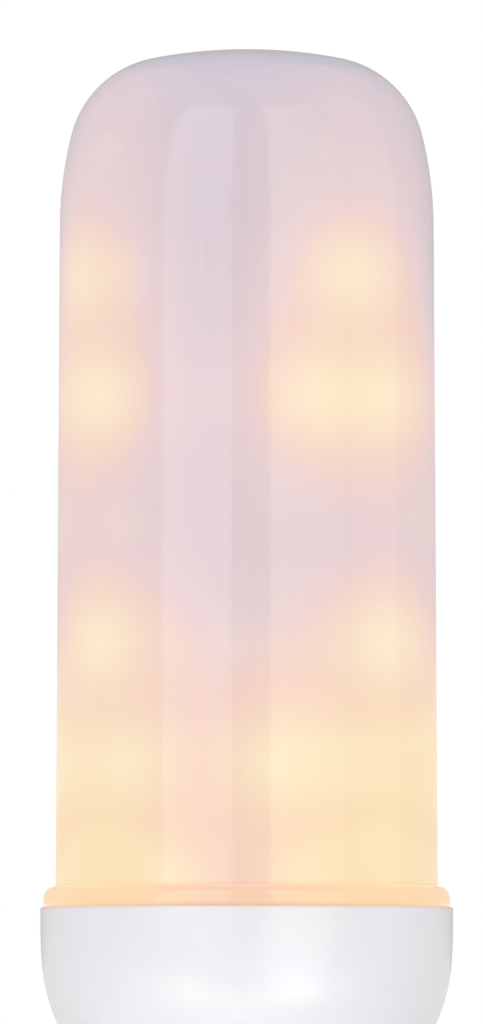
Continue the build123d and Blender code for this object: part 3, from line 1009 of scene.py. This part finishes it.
@dataclass
class CarriedNodes(SubAssembly):
    """CAD nodes that stay as packed and only get finishes."""

    nodes: dict[str, bpy.types.Object]

    led_rows: int = 7

    def finishes(self) -> dict[str, Finish]:
        """The finish of each node that stays.

        Returns:
            Finishes by node name.
        """
        amber = Mottled(
            "amber_led", srgb(250, 214, 120), srgb(244, 200, 96), (0.2, 0.3), emission=0.4
        )
        chip = Mottled("black_chip", srgb(44, 44, 47), srgb(36, 36, 38), (0.5, 0.62), grain=3000.0)
        table: dict[str, Finish] = {
            "cap_insulator": Mottled(
                "black_insulator", srgb(32, 31, 34), srgb(24, 23, 26), (0.12, 0.2), coat=0.3
            ),
            "centre_contact": Mottled(
                "solder_contact", srgb(196, 195, 192), srgb(176, 175, 173), (0.3, 0.42), 1.0
            ),
            "led_former": Mottled(
                "white_former", srgb(238, 238, 234), srgb(232, 232, 228), (0.5, 0.6)
            ),
            "led_flex_board": Mottled(
                "white_flex", srgb(242, 242, 236), srgb(236, 236, 230), (0.4, 0.5)
            ),
            "driver_board": Mottled(
                "green_board", srgb(34, 104, 62), srgb(28, 92, 54), (0.3, 0.4)
            ),
            "former_screws": Mottled(
                "zinc_screw", srgb(192, 194, 196), srgb(176, 178, 181), (0.25, 0.35), 1.0
            ),
            "bulk_capacitor": Mottled(
                "black_sleeve", srgb(40, 42, 66), srgb(32, 34, 56), (0.25, 0.35)
            ),
            "drum_inductor": Mottled("ferrite", srgb(74, 66, 60), srgb(58, 52, 48), (0.55, 0.7)),
            "film_capacitor": Mottled("red_film", srgb(158, 52, 36), srgb(142, 44, 30), (0.2, 0.3)),
            "fusible_resistor": Mottled(
                "grey_resistor", srgb(128, 150, 146), srgb(114, 136, 132), (0.5, 0.6)
            ),
            "live_wire": Mottled("red_wire", srgb(178, 36, 30), srgb(160, 30, 26), (0.3, 0.4)),
            "neutral_wire": Mottled("black_wire", srgb(34, 34, 36), srgb(26, 26, 28), (0.3, 0.4)),
            "bridge_rectifier": chip,
            "driver_chip": chip,
            "flame_controller": chip,
            "row_transistors": chip,
        }
        table.update({f"led_row_{row}": amber for row in range(1, self.led_rows + 1)})
        return table

    def build(self) -> list[bpy.types.Object]:
        """Give each node its finish.

        Returns:
            The nodes that got one.
        """
        done = []
        for name, finish in self.finishes().items():
            node = self.nodes[name]
            node.data.materials.clear()
            node.data.materials.append(finish.material())
            done.append(node)
        return done


@dataclass(frozen=True)
class SoftPanel:
    """An upright soft panel that only glossy surfaces show, or one that only evens the light.

    Its azimuths run in degrees from the front, to the right if positive. Its heights and its
    distance from the axis are in millimetres. A near panel lights the housing alone.
    """

    name: str
    azimuths: Span
    heights: Span
    radiance: float
    tint: Colour = WHITE
    distance: float = 900.0
    mirrored: bool = True
    near: bool = False

    def hang(self, housing: bpy.types.Collection) -> None:
        """Add the panel to the scene, facing the bulb.

        Args:
            housing: The collection that a near panel lights.
        """
        middle = math.radians(sum(self.azimuths) / 2 + FRONT)
        half = math.radians((self.azimuths[1] - self.azimuths[0]) / 2)
        light = bpy.data.lights.new(self.name, "AREA")
        light.shape = "RECTANGLE"
        light.size = 2 * self.distance * math.tan(half) * MM
        light.size_y = (self.heights[1] - self.heights[0]) * MM
        light.energy = self.radiance * math.pi * light.size * light.size_y
        light.color = self.tint
        lamp = bpy.data.objects.new(self.name, light)
        place = Vector((math.cos(middle), math.sin(middle), 0.0)) * self.distance
        place.z = sum(self.heights) / 2
        lamp.location = place * MM
        ahead = Vector((-place.x, -place.y, 0.0))
        lamp.rotation_euler = ahead.to_track_quat("-Z", "Y").to_euler()
        lamp.visible_camera = False
        lamp.visible_diffuse = not self.mirrored
        lamp.visible_glossy = self.mirrored
        if self.near:
            lamp.light_linking.receiver_collection = housing
        bpy.context.scene.collection.objects.link(lamp)


TALL: Span = (-100.0, 1380.0)
CLEAR_TINT: Colour = (1.0, 1.15, 1.35)
WARM_TINT: Colour = (1.08, 1.08, 0.84)


@dataclass
class Studio:
    """Camera, floor, surroundings and soft panels."""

    photo_scale: float = 0.1505
    photo_size: tuple[int, int] = (483, 1024)
    axis_column: float = 246.75
    top_row: float = 49.3
    distance: float = 3000.0
    camera_drop: float = 32.0
    sensor: float = 36.0
    ambient: float = 0.968
    room_lean: tuple[float, float, float] = (-0.03, -0.232, 0.03)
    room_curve: tuple[float, float, float] = (0.0, -0.3, 0.0)
    floor_size: float = 8000.0
    clip: Span = (0.05, 50.0)
    panels: tuple[SoftPanel, ...] = (
        SoftPanel("panel_left", (-52.0, -9.0), TALL, 1.0, CLEAR_TINT),
        SoftPanel("panel_right_1", (14.0, 62.0), TALL, 0.4, WARM_TINT),
        SoftPanel("panel_right_2", (14.0, 53.0), TALL, 0.2, WARM_TINT),
        SoftPanel("panel_right_3", (14.0, 44.0), TALL, 0.2, WARM_TINT),
        SoftPanel("panel_right_4", (14.0, 34.0), TALL, 0.2, WARM_TINT),
        SoftPanel("panel_right_5", (14.0, 24.0), TALL, 0.2, WARM_TINT),
        SoftPanel("panel_side", (66.0, 104.0), TALL, 0.34),
        SoftPanel("card_right", (7.5, 41.0), (1.0, 60.0), 1.4, WHITE, 100.0, near=True),
        SoftPanel("card_right_low", (14.0, 35.0), (1.0, 38.0), 1.1, WHITE, 100.0, near=True),
        SoftPanel(
            "card_left_low", (-37.0, -21.0), (1.0, 34.0), 1.3, (1.05, 1.02, 0.85), 100.0, near=True
        ),
        SoftPanel(
            "card_wide", (-62.0, 62.0), (0.5, 24.0), 0.95, (1.04, 1.02, 0.9), 75.0, near=True
        ),
        SoftPanel("card_fill", (-46.0, 38.0), (0.5, 22.0), 1.8, WHITE, 70.0, False, True),
    )

    def camera(self, top: float, rim: float) -> None:
        """Place the long lens in front of the bulb.

        Args:
            top: Level of the bulb's top.
            rim: Level of the housing's rim.
        """
        width, height = self.photo_size
        aim = top - (height / 2 - self.top_row) * self.photo_scale
        side = (width / 2 - self.axis_column) * self.photo_scale
        place = Vector((side, -self.distance, rim - self.camera_drop))
        lens = bpy.data.cameras.new("camera")
        lens.sensor_fit = "VERTICAL"
        lens.sensor_height = self.sensor
        reach = math.hypot(self.distance, aim - place.z)
        lens.lens = self.sensor * reach / (height * self.photo_scale)
        lens.clip_start, lens.clip_end = self.clip
        camera = bpy.data.objects.new("camera", lens)
        camera.location = place * MM
        ahead = Vector((side, 0.0, aim)) - place
        camera.rotation_euler = ahead.to_track_quat("-Z", "Y").to_euler()
        bpy.context.scene.collection.objects.link(camera)
        bpy.context.scene.camera = camera

    def surroundings(self) -> None:
        """Set a white background to the eye and a soft white room that is brighter in front."""
        world = bpy.data.worlds.new("surroundings")
        bpy.context.scene.world = world
        world.use_nodes = True
        tree = world.node_tree
        tree.nodes.clear()

        def add(kind: str, **settings: object) -> bpy.types.Node:
            """Add a node to the world.

            Args:
                kind: The node's type without its ShaderNode prefix.
                **settings: Attributes to set on the node.

            Returns:
                The new node.
            """
            node = tree.nodes.new("ShaderNode" + kind)
            for key, value in settings.items():
                setattr(node, key, value)
            return node

        output = add("OutputWorld")
        mix = add("MixShader")
        seen = add("Background")
        soft = add("Background")
        path = add("LightPath")
        way = add("TexCoord")
        square = add("VectorMath", operation="MULTIPLY")
        lean = add("VectorMath", operation="DOT_PRODUCT")
        curve = add("VectorMath", operation="DOT_PRODUCT")
        tilted = add("Math", operation="ADD")
        level = add("Math", operation="ADD")
        lean.inputs[1].default_value = self.room_lean
        curve.inputs[1].default_value = self.room_curve
        level.inputs[1].default_value = self.ambient
        seen.inputs["Color"].default_value = (*WHITE, 1.0)
        seen.inputs["Strength"].default_value = 1.0
        soft.inputs["Color"].default_value = (*WHITE, 1.0)
        for source, target in (
            (way.outputs["Generated"], lean.inputs[0]),
            (way.outputs["Generated"], square.inputs[0]),
            (way.outputs["Generated"], square.inputs[1]),
            (square.outputs["Vector"], curve.inputs[0]),
            (lean.outputs["Value"], tilted.inputs[0]),
            (curve.outputs["Value"], tilted.inputs[1]),
            (tilted.outputs["Value"], level.inputs[0]),
            (level.outputs["Value"], soft.inputs["Strength"]),
            (path.outputs["Is Camera Ray"], mix.inputs["Fac"]),
            (soft.outputs["Background"], mix.inputs[1]),
            (seen.outputs["Background"], mix.inputs[2]),
            (mix.outputs["Shader"], output.inputs["Surface"]),
        ):
            tree.links.new(source, target)

    def floor(self) -> None:
        """Lay a plain pale floor under the bulb."""
        work = bmesh.new()
        bmesh.ops.create_grid(work, x_segments=1, y_segments=1, size=self.floor_size / 2 * MM)
        ground = finished_object("floor", work)
        finish = Mottled(
            "pale_floor",
            light=(0.9, 0.9, 0.9),
            dark=(0.88, 0.88, 0.88),
            roughness=(0.6, 0.7),
            grain=40.0,
            relief_mm=0.0,
            gloss=0.0,
        )
        ground.data.materials.append(finish.material())

    def build(self) -> None:
        """Set up the whole studio."""
        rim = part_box("housing")[1].z / MM
        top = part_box("diffuser_cover")[1].z / MM
        self.camera(top, rim)
        self.surroundings()
        self.floor()
        lit_near = bpy.data.collections.new("lit_near")
        lit_near.objects.link(bpy.data.objects["housing_bowl"])
        for panel in self.panels:
            panel.hang(lit_near)
        settings = bpy.context.scene.view_settings
        settings.view_transform = "Standard"


def main() -> None:
    """Build the bulb's looks and report each piece."""
    logging.basicConfig(level=logging.INFO, format="%(name)s: %(message)s")
    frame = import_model()
    assemblies: list[SubAssembly] = [Cover(), Housing(), ScrewCap(), CarriedNodes(frame["nodes"])]
    for assembly in assemblies:
        for piece in assembly.build():
            faces = len(piece.data.polygons)
            LOG.info("%s: %s, %d faces", type(assembly).__name__, piece.name, faces)
    Studio().build()


if __name__ == "__main__":
    main()
